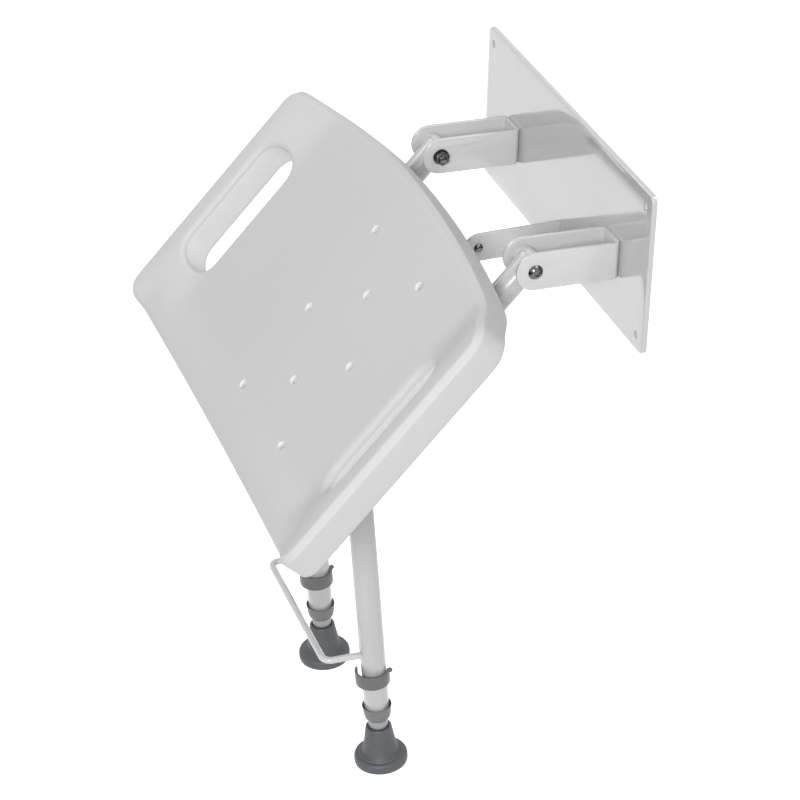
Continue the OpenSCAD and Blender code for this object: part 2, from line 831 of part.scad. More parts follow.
module end_bushes() {
    band = end_bush_top + end_bush_band;
    color("gray") for (side = [-1, 1]) in_leg(side) difference() {
        union() {
            rod_down(end_bush_r, end_bush_top, band);
            translate([0, 0, -end_bush_low]) cylinder(r1 = inner_r + 2, r2 = end_bush_r, h = end_bush_low - band);
            rod_down(leg_ri, leg_end - end_bush_in, leg_end);
        }
        difference() {
            rod_down(leg_r, end_bush_top - over, leg_end);
            rod_down(leg_ri, end_bush_top - 2 * over, leg_end + over);
        }
        rod_down(inner_r + run_gap, 0, end_bush_low + over);
    }
}

module lug_bolt() {
    color("silver") at_pivot() translate([0, 0, -link_drop]) link_bolt();
}

module lug_nut() {
    color("silver") at_pivot() translate([0, 0, -link_drop]) link_nut();
}

// Link

module link_bar() {
    color("white") in_link() translate([-link_x, 0, 0]) difference() {
        union() {
            translate([0, -link_long, -link_high / 2]) cube([link_bar_t, link_long, link_high]);
            for (y = [0, -link_long]) translate([0, y, 0]) rod_x(link_high / 2, 0, link_bar_t);
        }
        for (y = [0, -link_long]) translate([0, y, 0]) rod_x(link_bolt_r + run_gap, -over, link_bar_t + over);
    }
}

module link_stop() {
    color("dimgray") in_link()
        translate([-link_x, -link_long + stop_along - stop_long / 2, link_high / 2])
            cube([link_bar_t, stop_long, stop_high]);
}

module link_washers() {
    color("silver") in_link() for (y = [0, -link_long]) translate([-link_in, y, 0]) difference() {
        rod_x(link_high / 2, 0, link_washer_h - run_gap);
        rod_x(link_bolt_r + run_gap, -over, link_washer_h + over);
    }
}

// Inner tubes and feet

module inner_tube(side) {
    color("silver") in_leg(side) difference() {
        rod_down(inner_r, inner_top, inner_end);
        rod_down(inner_ri, inner_top - over, inner_end + over);
        for (k = [0:height_holes - 1])
            translate([0, 0, k * height_pitch - clip_at]) rod_x(pin_r + run_gap, 0, inner_r + over);
    }
}

module inner_tube_left() {
    inner_tube(-1);
}

module inner_tube_right() {
    inner_tube(1);
}

module glide(side) {
    color("dimgray") in_leg(side) difference() {
        union() {
            rod_down(leg_ri - run_gap, inner_top - glide_rim, inner_top);
            rod_down(inner_ri, inner_top, inner_top + glide_long);
        }
        rod_down(inner_ri - inner_wall, inner_top - glide_rim - over, inner_top + glide_long + over);
    }
}

module glide_left() {
    glide(-1);
}

module glide_right() {
    glide(1);
}

module foot(side) {
    color("dimgray") in_leg(side) difference() {
        union() {
            translate([0, 0, -foot_low_at + foot_flange_h])
                cylinder(r1 = foot_neck_r, r2 = foot_top_r, h = foot_low_at - foot_flange_h - foot_top_at);
            rod_down(foot_flange_r, foot_low_at - foot_flange_h, foot_low_at);
        }
        rod_down(inner_r, foot_top_at - over, inner_end);
    }
}

module foot_left() {
    foot(-1);
}

module foot_right() {
    foot(1);
}

// Height clips

// a clip seen from above: half a ring with straight lips
module clip_outline() {
    difference() {
        circle(r = clip_ro);
        circle(r = clip_ri);
        translate([-far, -far]) square([far, 2 * far]);
    }
    for (y = [clip_ri, -clip_ro]) translate([-clip_lip, y]) square([clip_lip, clip_wall]);
}

module height_clip(side) {
    color("gray") in_leg(side) translate([0, 0, -clip_at]) difference() {
        union() {
            translate([0, 0, -clip_high / 2]) linear_extrude(clip_high) clip_outline();
            translate([-clip_lip, clip_ri + clip_ball_r + clip_gap, clip_high / 2]) sphere(r = clip_ball_r);
        }
        rod_x(pin_r, 0, clip_ro + over);
    }
}

module height_clip_left() {
    height_clip(-1);
}

module height_clip_right() {
    height_clip(1);
}

module clip_pin(side) {
    color("silver") in_leg(side) translate([0, 0, -clip_at]) rod_x(pin_r, inner_r + face_gap, clip_ro);
}

module clip_pin_left() {
    clip_pin(-1);
}

module clip_pin_right() {
    clip_pin(1);
}

wall_plate();
bracket_left();
bracket_right();
centre_arm();
hinge_bolts();
hinge_washers();
hinge_nuts();
arm_bolt();
arm_nut();
hinge_bushes();
side_tube_left();
side_tube_right();
front_tube();
cross_rails();
frame_plugs();
rail_plugs();
pivot_plates();
pivot_bushes();
seat_panel();
seat_screws();
pivot_tube();
pivot_inserts();
pivot_bolts();
pivot_lug();
leg_left();
leg_right();
foot_rail();
end_bushes();
lug_bolt();
lug_nut();
link_bar();
link_stop();
link_washers();
inner_tube_left();
inner_tube_right();
glide_left();
glide_right();
foot_left();
foot_right();
height_clip_left();
height_clip_right();
clip_pin_left();
clip_pin_right();
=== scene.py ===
import json
import math
import bmesh
import bpy
from mathutils import Matrix, Vector


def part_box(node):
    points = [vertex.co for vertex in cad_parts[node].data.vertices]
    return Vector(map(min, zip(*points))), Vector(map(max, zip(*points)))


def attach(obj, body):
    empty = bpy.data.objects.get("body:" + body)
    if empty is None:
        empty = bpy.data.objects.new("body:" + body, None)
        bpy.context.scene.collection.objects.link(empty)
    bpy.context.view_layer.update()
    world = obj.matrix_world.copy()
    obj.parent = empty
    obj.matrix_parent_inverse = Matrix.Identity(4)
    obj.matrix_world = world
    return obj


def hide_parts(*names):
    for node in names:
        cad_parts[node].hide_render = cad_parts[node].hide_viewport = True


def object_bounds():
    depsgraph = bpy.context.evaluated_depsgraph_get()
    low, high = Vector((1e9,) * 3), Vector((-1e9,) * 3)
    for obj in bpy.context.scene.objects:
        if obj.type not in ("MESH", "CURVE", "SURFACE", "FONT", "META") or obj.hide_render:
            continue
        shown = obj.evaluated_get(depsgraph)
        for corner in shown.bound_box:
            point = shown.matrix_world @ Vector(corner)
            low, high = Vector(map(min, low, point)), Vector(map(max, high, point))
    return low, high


# Fold down wall seat, in the CAD frame: metres, X along the wall, +Y into it, Z up.
# The origin is the centre of the wall plate's back face.
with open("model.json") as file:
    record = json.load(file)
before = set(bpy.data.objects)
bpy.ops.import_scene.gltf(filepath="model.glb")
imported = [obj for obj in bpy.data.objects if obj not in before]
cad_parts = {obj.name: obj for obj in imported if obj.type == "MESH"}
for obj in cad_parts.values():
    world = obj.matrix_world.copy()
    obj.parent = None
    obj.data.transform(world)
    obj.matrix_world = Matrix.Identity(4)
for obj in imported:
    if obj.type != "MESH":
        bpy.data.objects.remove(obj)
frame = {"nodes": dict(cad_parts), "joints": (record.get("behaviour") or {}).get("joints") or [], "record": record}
cad_box = [list(c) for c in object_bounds()]
bpy.ops.object.select_all(action="DESELECT")
nodes = frame["nodes"]


# Moulded seat
# One moulding of satin off-white plastic, 3.6 mm thick: a dished top that rises to a rim at each side, a
# skirt all round, a hand slot beside each rim with walls down inside the skirt, and eight small drain holes.
def joint_at(name):
    """The place of a joint, in metres."""
    return Vector(next(j for j in frame["joints"] if j["name"] == name)["pos_m"])


# the seat hangs 48.4 degrees down; its own sizes are in mm from the fold axis, u across and v to the front
MM = 0.001
fold_drop = math.radians(48.4)
SEAT_PLACE = Matrix.Translation(joint_at("seat_fold")) @ Matrix.Rotation(fold_drop, 4, "X")
half_width = 281.0
rear_middle = 20.5
rear_bow = 33.0
front_edge = 330.5
skirt_depth = 34.0
corner_r = 19.0
skin = 3.6

# the top: its height over the fold axis, its dip, the rims beside it and the edge that turns up in front
top_middle = 70.8
dip = 5.0
flat_half = 200.0
rim_rise = 21.9
front_top = 73.2
front_dish = 6.0
front_rim = 34.0
front_rise_from = 272.0

# rings from the top over its rounded edge and down the skirt, as (distance set in, drop)
edge_r = 6.5
edge_shape = ((edge_r, 0.0), (5.7, 0.2), (5.0, 0.75), (4.3, 1.4), (1.4, 4.3), (0.75, 5.0), (0.2, 5.7),
              (0.0, edge_r))
skirt_shape = ((0.0, 15.0), (0.0, skirt_depth - 2.2), (0.25, skirt_depth - 1.0), (1.2, skirt_depth))

# hand slots: where they lie, the roll of their edge, which is broader at the inner side, and their walls
slot_in = 208.5
slot_out = 254.5
slot_rear = 106.0
slot_front = 262.0
slot_roll = 6.2
slot_roll_lean = 1.9
roll_steps = 5
slot_drops = (8.0, skirt_depth - 7.2, skirt_depth - 5.2)

# drain holes: three rows from rear to front, off to one side, and rings as (radius, drop)
drain_first = 79.0
drain_pitch = 99.0
drain_rows = (0.0, 119.0)
short_row = 63.5
short_row_depths = (124.0, 231.0)
drain_r = 4.0
drain_shape = ((7.0, 0.0), (5.8, 0.1), (5.0, 0.5), (drain_r + 0.2, 1.4), (drain_r, 2.4), (drain_r, 8.0))

# the top starts as a grid of lines; the patches round the slots and drains, which are taken out of it, are
# given by their first and last line across and their first and last line deep
cells_half = 48
cells_deep = 50
edge_band = 17.0
cell = (half_width - edge_band) / cells_half
slot_cells = (36, 47, 8, 42)
drain_cells = 3


def top_height(u):
    """Height of the seat's top over the fold axis, at the distance u from the middle."""
    a = abs(u)
    if a < flat_half:
        return top_middle - dip * (1 - math.cos(math.pi * a / flat_half)) / 2
    t = min(1.0, (a - flat_half) / (half_width - edge_r - flat_half))
    return top_middle - dip + rim_rise * t * t * (3 - 2 * t)


def ease(t):
    """An S curve that is 0 up to t = 0 and 1 from t = 1."""
    t = min(1.0, max(0.0, t))
    return t * t * (3 - 2 * t)


def front_rise(u, v):
    """How far the top is turned up towards the front edge, where it lies higher between the rims."""
    a, rim_top = abs(u), top_middle - dip + rim_rise
    level = front_top + front_dish * (a / half_width) ** 2
    level += (rim_top - front_top - front_dish) * ease((a - half_width + edge_r + front_rim) / front_rim)
    return (level - top_height(a)) * ease((v - front_rise_from) / (front_edge - edge_r - front_rise_from))


def rear_edge(u):
    """How far in front of the fold axis the rear edge lies."""
    return rear_middle + rear_bow * (u / half_width) ** 2


def outline_point(side, p, inset):
    """A point of the seat's outline, set in; side is 0 front, 1 rear, 2 left, 3 right, and p is -1 to 1."""
    c, half = corner_r - inset, half_width - inset
    straight = half_width - corner_r
    if side < 2:
        way = abs(p) * (straight + c * math.pi / 4)
        phi = max(0.0, way - straight) / c
        u = min(way, straight) + c * math.sin(phi)
        back = inset + c * (1 - math.cos(phi))
        v = front_edge - back if side == 0 else rear_edge(u) + back
        return math.copysign(u, p), v
    low, high = rear_edge(half_width) + corner_r, front_edge - corner_r
    middle = (low + high) / 2
    way = abs(p) * ((high - low) / 2 + c * math.pi / 4)
    phi = math.pi / 2 - max(0.0, way - (high - low) / 2) / c
    u = straight + c * math.sin(phi)
    if phi == math.pi / 2:
        v = middle + math.copysign(way, p)
    elif p > 0:
        v = front_edge - inset - c * (1 - math.cos(phi))
    else:
        v = rear_edge(u) + inset + c * (1 - math.cos(phi))
    return (-u if side == 2 else u), v


def box_fraction(x, y, a, b):
    """How far round a box of half sizes a and b the point x, y lies, from the middle of its +X side."""
    if x == a:
        way = y
    elif y == b:
        way = b + a - x
    elif x == -a:
        way = b + 2 * a + b - y
    else:
        way = 3 * b + 2 * a + a + x
    return (way / (4 * (a + b))) % 1.0


def slot_point(q, grow):
    """The point at the share q of the way round a grown hand slot, and the cosine of its direction."""
    r = (slot_out - slot_in) / 2
    half = (slot_front - slot_rear) / 2 - r
    way = q * (4 * half + 2 * math.pi * r)
    if way < half or way > 3 * half + 2 * math.pi * r:
        y = way if way < half else way - (4 * half + 2 * math.pi * r)
        return r + grow(0.0), y, 1.0
    way -= half
    if way < math.pi * r:
        phi, base = way / r, half
    elif way < math.pi * r + 2 * half:
        return -r - grow(math.pi), half - (way - math.pi * r), -1.0
    else:
        phi, base = (way - 2 * half) / r, -half
    g = grow(phi)
    return (r + g) * math.cos(phi), base + (r + g) * math.sin(phi), math.cos(phi)


def seat_co(u, v, drop=0.0):
    """A point of the moulding in metres, that far below its top."""
    fade = 1 - max(0.0, drop - edge_r) / (skirt_depth - edge_r)
    return Vector((u, -v, top_height(u) + front_rise(u, v) * fade - drop)) * MM


def roll(phi):
    """The radius of a hand slot's rolled edge in that direction."""
    return slot_roll - slot_roll_lean * math.cos(phi)


def slot_place(q, side, turn, drop):
    """A point of a slot's rolled edge, which starts at a quarter turn, or of its wall, at a turn of 0."""
    x, y, c = slot_point(q, lambda phi: roll(phi) * (1 - math.cos(turn)))
    fall = roll(math.acos(c)) * (1 - math.sin(turn)) + drop
    return seat_co(side * ((slot_in + slot_out) / 2 + x), (slot_rear + slot_front) / 2 - y, fall)


def drain_place(q, drain, r, drop):
    """A point of a ring round a drain hole."""
    turn = 2 * math.pi * q
    return seat_co(drain[0] + r * math.cos(turn), drain[1] - r * math.sin(turn), drop)


def place_key(co):
    """A vertex's place as a key, which finds it again after an operator."""
    return tuple(round(c, 7) for c in co)


def pick_parts(mode, parts, test):
    """Selects the parts of the mesh in edit mode that pass the test, in the mode VERT, EDGE or FACE."""
    bpy.ops.mesh.select_mode(type=mode)
    bpy.ops.mesh.select_all(action="DESELECT")
    mesh = bmesh.from_edit_mesh(bpy.context.object.data)
    for part in getattr(mesh, parts):
        if test(part):
            part.select_set(True)
    mesh.select_flush_mode()
    bmesh.update_edit_mesh(bpy.context.object.data)


def extrude_ring(obj, places, target):
    """Extrudes the open edges between the vertices in places, and moves each new one to its target."""
    pick_parts("EDGE", "edges", lambda e: e.is_boundary and all(place_key(v.co) in places for v in e.verts))
    bpy.ops.mesh.extrude_edges_move()
    mesh = bmesh.from_edit_mesh(obj.data)
    moved = {}
    for v in mesh.verts:
        if v.select:
            where = places[place_key(v.co)]
            v.co = target(where)
            moved[place_key(v.co)] = where
    bmesh.update_edit_mesh(obj.data)
    return moved


def pick_object(obj):
    """Selects this object alone and makes it the active one."""
    bpy.ops.object.select_all(action="DESELECT")
    obj.select_set(True)
    bpy.context.view_layer.objects.active = obj


def bake_place(obj, matrix=None):
    """Applies the object's modifiers and its place, so that it ends at the origin, unturned and unscaled."""
    pick_object(obj)
    for m in list(obj.modifiers):
        bpy.ops.object.modifier_apply(modifier=m.name)
    if matrix is not None:
        obj.matrix_world = matrix @ obj.matrix_world
    bpy.ops.object.transform_apply(location=True, rotation=True, scale=True)
    obj.select_set(False)


bpy.ops.mesh.primitive_grid_add(x_subdivisions=2 * cells_half, y_subdivisions=cells_deep, size=2)
seat_shell = bpy.context.object
seat_shell.name = "seat_shell"
seat_shell.data.name = "seat_shell"
drains = [(u, drain_first + drain_pitch * n) for n in range(3) for u in drain_rows]
drains += [(short_row, v) for v in short_row_depths]


def grid_v(u, j):
    """The depth of the grid's line j at the distance u from the middle."""
    t = j / cells_deep
    return (rear_edge(u) + edge_band) * (1 - t) + (front_edge - edge_band) * t


def drain_patch(u, v):
    """The patch of cells whose middle is nearest to a drain."""
    i = round(u / cell - drain_cells / 2)
    j = min(range(cells_deep - drain_cells), key=lambda k: abs(grid_v(u, k + drain_cells / 2) - v))
    return i, i + drain_cells, j, j + drain_cells


# each patch is (span, side, drain), with no drain where it is a slot's
patches = [(slot_cells, 1, None), ((-slot_cells[1], -slot_cells[0], *slot_cells[2:]), -1, None)]
patches += [(drain_patch(u, v), 1, (u, v)) for u, v in drains]
bpy.ops.object.mode_set(mode="EDIT")
mesh = bmesh.from_edit_mesh(seat_shell.data)
spots = {v: (round(v.co.x * cells_half), round((1 - v.co.y) * cells_deep / 2)) for v in mesh.verts}
loops = {}
for v in mesh.verts:
    i, j = spots[v]
    u = i * cell
    v.co = seat_co(u, grid_v(u, j))
    key = place_key(v.co)
    for n, (span, side, drain) in enumerate(patches):
        if span[0] <= i <= span[1] and span[2] <= j <= span[3] and (i in span[:2] or j in span[2:]):
            x, y = i - (span[0] + span[1]) / 2, -(j - (span[2] + span[3]) / 2)
            q = box_fraction(x * side, y, (span[1] - span[0]) / 2, (span[3] - span[2]) / 2)
            loops.setdefault(n, {})[key] = q
    if abs(i) == cells_half or j in (0, cells_deep):
        if j == cells_deep:
            where = (0, i / cells_half)
        elif j == 0:
            where = (1, i / cells_half)
        else:
            where = (2 if i < 0 else 3, 2 * j / cells_deep - 1)
        loops.setdefault("rim", {})[key] = where
bmesh.update_edit_mesh(seat_shell.data)


def in_patch(face):
    """Whether a face of the grid lies in a patch that is taken out."""
    ij = [spots_of[place_key(v.co)] for v in face.verts]
    i, j = sum(p[0] for p in ij) / 4, sum(p[1] for p in ij) / 4
    return any(span[0] < i < span[1] and span[2] < j < span[3] for span, _, _ in patches)


spots_of = {place_key(v.co): spots[v] for v in mesh.verts}
pick_parts("FACE", "faces", in_patch)
bpy.ops.mesh.delete(type="FACE")

places = loops["rim"]
for inset, drop in edge_shape + skirt_shape:
    places = extrude_ring(seat_shell, places, lambda w: seat_co(*outline_point(*w, inset), drop))

for n, (span, side, drain) in enumerate(patches):
    places = loops[n]
    if drain is None:
        for step in range(roll_steps + 1):
            turn = math.pi / 2 * (1 - step / roll_steps)
            places = extrude_ring(seat_shell, places, lambda q: slot_place(q, side, turn, 0.0))
        for drop in slot_drops:
            places = extrude_ring(seat_shell, places, lambda q: slot_place(q, side, 0.0, drop))
    else:
        for r, drop in drain_shape:
            places = extrude_ring(seat_shell, places, lambda q: drain_place(q, drain, r, drop))

# how far round a slot or a drain its walls are looked for, and the drop from which they count as walls and get
# painted light
slot_near = 3.0
slot_light_from = 7.0
drain_near = 1.5
drain_light_from = 0.6


def painted_light_zone(at):
    """Which material a face gets: 0 the plain plastic on the top and the skirt, 1 a lighter copy with painted
    light down in a hand slot, 2 a still lighter copy with painted light in a drain.
    """
    u, v = abs(at.x), -at.y
    drop = top_height(u) - at.z
    if slot_in - slot_near < u < slot_out + slot_near and slot_rear - slot_near < v < slot_front + slot_near:
        return 1 if drop > slot_light_from else 0
    near_drain = any(math.hypot(at.x - d[0], v - d[1]) < drain_r + drain_near for d in drains)
    return 2 if near_drain and drop > drain_light_from else 0


bpy.ops.mesh.select_all(action="SELECT")
bpy.ops.mesh.normals_make_consistent(inside=False)
bpy.ops.object.mode_set(mode="OBJECT")
up = sum((f.normal.z * f.area for f in seat_shell.data.polygons), 0.0)
if up < 0:
    seat_shell.data.flip_normals()

# three places for the plastic and its two lighter copies with painted light, made below
for n in range(3):
    seat_shell.data.materials.append(None)
for polygon in seat_shell.data.polygons:
    polygon.material_index = painted_light_zone(polygon.center / MM)
wall = seat_shell.modifiers.new("wall", "SOLIDIFY")
wall.thickness = skin * MM
wall.offset = -1
smooth = seat_shell.modifiers.new("smooth", "SUBSURF")
smooth.levels = smooth.render_levels = 1
bake_place(seat_shell, SEAT_PLACE)
pick_object(seat_shell)
bpy.ops.object.shade_smooth()


def new_group(name, inputs, outputs):
    """An empty shader node group with the named sockets; inputs are (name, kind, value)."""
    group = bpy.data.node_groups.new(name, "ShaderNodeTree")
    for label, kind, value in inputs:
        group.interface.new_socket(label, in_out="INPUT", socket_type=kind).default_value = value
    for label, kind in outputs:
        group.interface.new_socket(label, in_out="OUTPUT", socket_type=kind)
    return group, group.nodes.new("NodeGroupInput"), group.nodes.new("NodeGroupOutput")


def add_noise(group, entry, size, detail, rough):
    """A noise on the piece's own coordinates, whose grain is the group input named size, in metres."""
    where = group.nodes.new("ShaderNodeTexCoord")
    scale = group.nodes.new("ShaderNodeMath")
    scale.operation = "DIVIDE"
    scale.inputs[0].default_value = 1.0
    noise = group.nodes.new("ShaderNodeTexNoise")
    noise.inputs["Detail"].default_value = detail
    noise.inputs["Roughness"].default_value = rough
    group.links.new(entry.outputs[size], scale.inputs[1])
    group.links.new(scale.outputs[0], noise.inputs["Scale"])
    group.links.new(where.outputs["Object"], noise.inputs["Vector"])
    return noise.outputs["Fac"]


def around(group, value, middle, spread):
    """middle + (value - 0.5) * spread, from three sockets."""
    low = group.nodes.new("ShaderNodeMath")
    low.operation = "SUBTRACT"
    low.inputs[1].default_value = 0.5
    sweep = group.nodes.new("ShaderNodeMath")
    sweep.operation = "MULTIPLY_ADD"
    group.links.new(value, low.inputs[0])
    group.links.new(low.outputs[0], sweep.inputs[0])
    group.links.new(spread, sweep.inputs[1])
    group.links.new(middle, sweep.inputs[2])
    return sweep.outputs[0]


# one effect each: colour that drifts over a surface, gloss that handling has made uneven, and a moulded grain
drift, entry, leave = new_group(
    "colour_drift", [("Colour", "NodeSocketColor", (1, 1, 1, 1)), ("Size", "NodeSocketFloat", 0.05),
                     ("Middle", "NodeSocketFloat", 1.0), ("Spread", "NodeSocketFloat", 0.1)],
    [("Colour", "NodeSocketColor")])
level = around(drift, add_noise(drift, entry, "Size", 3.0, 0.6), entry.outputs["Middle"],
               entry.outputs["Spread"])
shade = drift.nodes.new("ShaderNodeVectorMath")
shade.operation = "SCALE"
drift.links.new(entry.outputs["Colour"], shade.inputs[0])
drift.links.new(level, shade.inputs["Scale"])
drift.links.new(shade.outputs["Vector"], leave.inputs["Colour"])

handled, entry, leave = new_group(
    "handled_gloss", [("Roughness", "NodeSocketFloat", 0.4), ("Size", "NodeSocketFloat", 0.03),
                      ("Spread", "NodeSocketFloat", 0.1)],
    [("Roughness", "NodeSocketFloat")])
level = around(handled, add_noise(handled, entry, "Size", 4.0, 0.65), entry.outputs["Roughness"],
               entry.outputs["Spread"])
handled.links.new(level, leave.inputs["Roughness"])

grain, entry, leave = new_group(
    "surface_grain", [("Size", "NodeSocketFloat", 0.001)], [("Height", "NodeSocketFloat")])
grain.links.new(add_noise(grain, entry, "Size", 5.0, 0.55), leave.inputs["Height"])


def make_finish(name, colour, rough, metal=0.0, coat=0.0, drifts=(0.06, 0.04), gloss=(0.03, 0.12),
                texture=(0.0008, 0.00004, 0.25)):
    """A material: colour drift (size, spread), uneven gloss (size, spread), grain (size, depth, strength)."""
    mat = bpy.data.materials.new(name)
    mat.use_nodes = True
    tree = mat.node_tree
    shader = tree.nodes["Principled BSDF"]
    shader.inputs["Metallic"].default_value = metal
    shader.inputs["Coat Weight"].default_value = coat
    shader.inputs["Coat Roughness"].default_value = 0.06
    tint = tree.nodes.new("ShaderNodeGroup")
    tint.node_tree = drift
    tint.inputs["Colour"].default_value = (*colour, 1.0)
    tint.inputs["Size"].default_value = drifts[0]
    tint.inputs["Spread"].default_value = drifts[1]
    tree.links.new(tint.outputs["Colour"], shader.inputs["Base Color"])
    worn = tree.nodes.new("ShaderNodeGroup")
    worn.node_tree = handled
    worn.inputs["Roughness"].default_value = rough
    worn.inputs["Size"].default_value = gloss[0]
    worn.inputs["Spread"].default_value = gloss[1]
    tree.links.new(worn.outputs["Roughness"], shader.inputs["Roughness"])
    pits = tree.nodes.new("ShaderNodeGroup")
    pits.node_tree = grain
    pits.inputs["Size"].default_value = texture[0]
    bump = tree.nodes.new("ShaderNodeBump")
    bump.inputs["Distance"].default_value = texture[1]
    bump.inputs["Strength"].default_value = texture[2]
    tree.links.new(pits.outputs["Height"], bump.inputs["Height"])
    tree.links.new(bump.outputs["Normal"], shader.inputs["Normal"])
    return mat


def dress(obj, mat):
    """Gives the whole object one material."""
    obj.data.materials.clear()
    obj.data.materials.append(mat)


# the walls of the slots, and still more those of the drains, are painted lighter than the top: lighter copies of
# the plastic that stand for the light on them
moulded = {"rough": 0.52, "drifts": (0.09, 0.025), "gloss": (0.05, 0.10), "texture": (0.0011, 0.00012, 0.30)}
seat_plastic = make_finish("seat_plastic", (0.565, 0.56, 0.562), **moulded)
slot_painted_light = make_finish("seat_plastic_thin", (0.67, 0.665, 0.667), **moulded)
drain_painted_light = make_finish("seat_plastic_drain", (0.76, 0.755, 0.757), **moulded)
for n, mat in enumerate((seat_plastic, slot_painted_light, drain_painted_light)):
    seat_shell.data.materials[n] = mat
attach(seat_shell, "seat")
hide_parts("seat_panel")


# Ribs and screw bosses under the seat
# Moulded in one with the seat: long ribs from rear to front, one rib across over each rail of the frame, and
# four round bosses that stand on the rails and take the seat screws from below.
rail_places = (92.0, 252.0)
screw_place = 96.0
rail_top = 32.9
long_ribs = (-144.0, -48.0, 48.0, 144.0)
rib_steps = 40
rib_thick = 3.0
rib_soft = 0.6
rib_sunk = skin * 0.6
rib_bottom_gap = 3.0
boss_r = 9.0
boss_wall = 5.9
boss_bore = 18.0
boss_sunk = skin * 0.5
boss_soft = 0.5


def rib_height(u, top):
    """Height of a rib's upper or lower edge over the fold axis."""
    return top_height(u) - (rib_sunk if top else skirt_depth - rib_bottom_gap)


def make_rib(name, ends, across):
    """A rib along the seat's width or depth: a strip that follows the top and is given a wall. The ends are
    where it starts and ends, and how far along the other way it stands."""
    bpy.ops.object.select_all(action="DESELECT")
    bpy.ops.mesh.primitive_grid_add(x_subdivisions=rib_steps, y_subdivisions=3, size=2)
    rib = bpy.context.object
    rib.name = rib.data.name = name
    for v in rib.data.vertices:
        way = (v.co.x + 1) / 2
        u = ends[0] + way * (ends[1] - ends[0]) if across else ends[2]
        depth = ends[2] if across else ends[0] + way * (ends[1] - ends[0])
        share = (v.co.y + 1) / 2
        high = share * rib_height(u, True) + (1 - share) * rib_height(u, False)
        v.co = Vector((u, -depth, high)) * MM
    wall = rib.modifiers.new("wall", "SOLIDIFY")
    wall.thickness = rib_thick * MM
    wall.offset = 0
    soft = rib.modifiers.new("soft", "BEVEL")
    soft.width = rib_soft * MM
    soft.segments = 2
    bake_place(rib, SEAT_PLACE)
    return rib


def join(objects, name):
    """Makes the objects one, under that name."""
    pick_object(objects[0])
    for o in objects:
        o.select_set(True)
    bpy.ops.object.join()
    whole = bpy.context.object
    whole.name = whole.data.name = name
    return whole


side_reach = slot_in - skin
ribs = [make_rib("rib", (-side_reach, side_reach, v), True) for v in rail_places]
ribs += [make_rib("rib", (rear_edge(u) + rib_sunk, front_edge - rib_sunk, u), False) for u in long_ribs]
for u in (-screw_place, screw_place):
    for v in rail_places:
        bpy.ops.object.select_all(action="DESELECT")
        high = top_height(u) - boss_sunk - rail_top
        bpy.ops.mesh.primitive_cylinder_add(vertices=40, radius=boss_r * MM, depth=high * MM)
        boss = bpy.context.object
        bpy.ops.object.mode_set(mode="EDIT")
        pick_parts("FACE", "faces", lambda f: f.normal.z < -0.9)
        bpy.ops.mesh.inset(thickness=boss_wall * MM)
        bpy.ops.mesh.extrude_region_move(TRANSFORM_OT_translate={"value": (0, 0, boss_bore * MM)})
        bpy.ops.object.mode_set(mode="OBJECT")
        soft = boss.modifiers.new("soft", "BEVEL")
        soft.width = boss_soft * MM
        soft.segments = 2
        soft.limit_method = "ANGLE"
        boss.location = (u * MM, -v * MM, (rail_top + high / 2) * MM)
        bake_place(boss, SEAT_PLACE)
        ribs.append(boss)
seat_ribs = join(ribs, "seat_ribs")


sharp = 38


def shade_round(obj, degrees=sharp):
    """Shades the object smooth, apart from the edges that turn by more than that."""
    pick_object(obj)
    bpy.ops.object.shade_smooth_by_angle(angle=math.radians(degrees))


shade_round(seat_ribs, 35)
dress(seat_ribs, seat_plastic)
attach(seat_ribs, "seat")
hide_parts("seat_panel")


# Wall plate
# A 5 mm steel plate with round corners and four screw holes. It is powder coated after welding, in a glossy
# white that runs thin over the rounded edges.
plate_corner = 8 * MM
plate_edge = 1.6 * MM
screws_across = 389 * MM
screws_up = 131 * MM
screw_r = 4.2 * MM
drill_long = 20 * MM
plate_low, plate_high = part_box("wall_plate")
plate_size = plate_high - plate_low
bpy.ops.object.select_all(action="DESELECT")
bpy.ops.mesh.primitive_cube_add(size=1)
plate = bpy.context.object
plate.name = plate.data.name = "plate"
plate.scale = plate_size
plate.location = (plate_low + plate_high) / 2
bake_place(plate)


def bevel_where(obj, test, width, segments):
    """Bevels the edges that pass the test, by that width."""
    pick_object(obj)
    bpy.ops.object.mode_set(mode="EDIT")
    pick_parts("EDGE", "edges", lambda e: test(e.verts[0].co, e.verts[1].co))
    bpy.ops.mesh.bevel(offset=width, segments=segments, profile=0.5, affect="EDGES")
    bpy.ops.object.mode_set(mode="OBJECT")


def combine(obj, other, operation):
    """Cuts the other object from this one or adds it, by the operation DIFFERENCE or UNION."""
    both = obj.modifiers.new("combine", "BOOLEAN")
    both.operation = operation
    both.solver = "EXACT"
    both.object = other
    pick_object(obj)
    bpy.ops.object.modifier_apply(modifier="combine")


# first the four corners, then the edge round the front face
bevel_where(plate, lambda a, b: abs(a.y - b.y) > 0.9 * plate_size.y, plate_corner, 10)
bevel_where(plate, lambda a, b: max(a.y, b.y) < plate_low.y + 1e-5, plate_edge, 5)
for x in (-screws_across / 2, screws_across / 2):
    for z in (-screws_up / 2, screws_up / 2):
        bpy.ops.object.select_all(action="DESELECT")
        bpy.ops.mesh.primitive_cylinder_add(vertices=48, radius=screw_r, depth=drill_long,
                                            location=(x, plate_low.y / 2, z), rotation=(math.pi / 2, 0, 0))
        drill = bpy.context.object
        combine(plate, drill, "DIFFERENCE")
        bpy.data.objects.remove(drill)
shade_round(plate, 30)
plate_coat = make_finish("plate_powder_coat", (0.485, 0.482, 0.485), 0.13, coat=1.0, drifts=(0.15, 0.02),
                         gloss=(0.05, 0.05), texture=(0.0030, 0.00005, 0.22))
dress(plate, plate_coat)
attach(plate, "wall")
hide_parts("wall_plate")


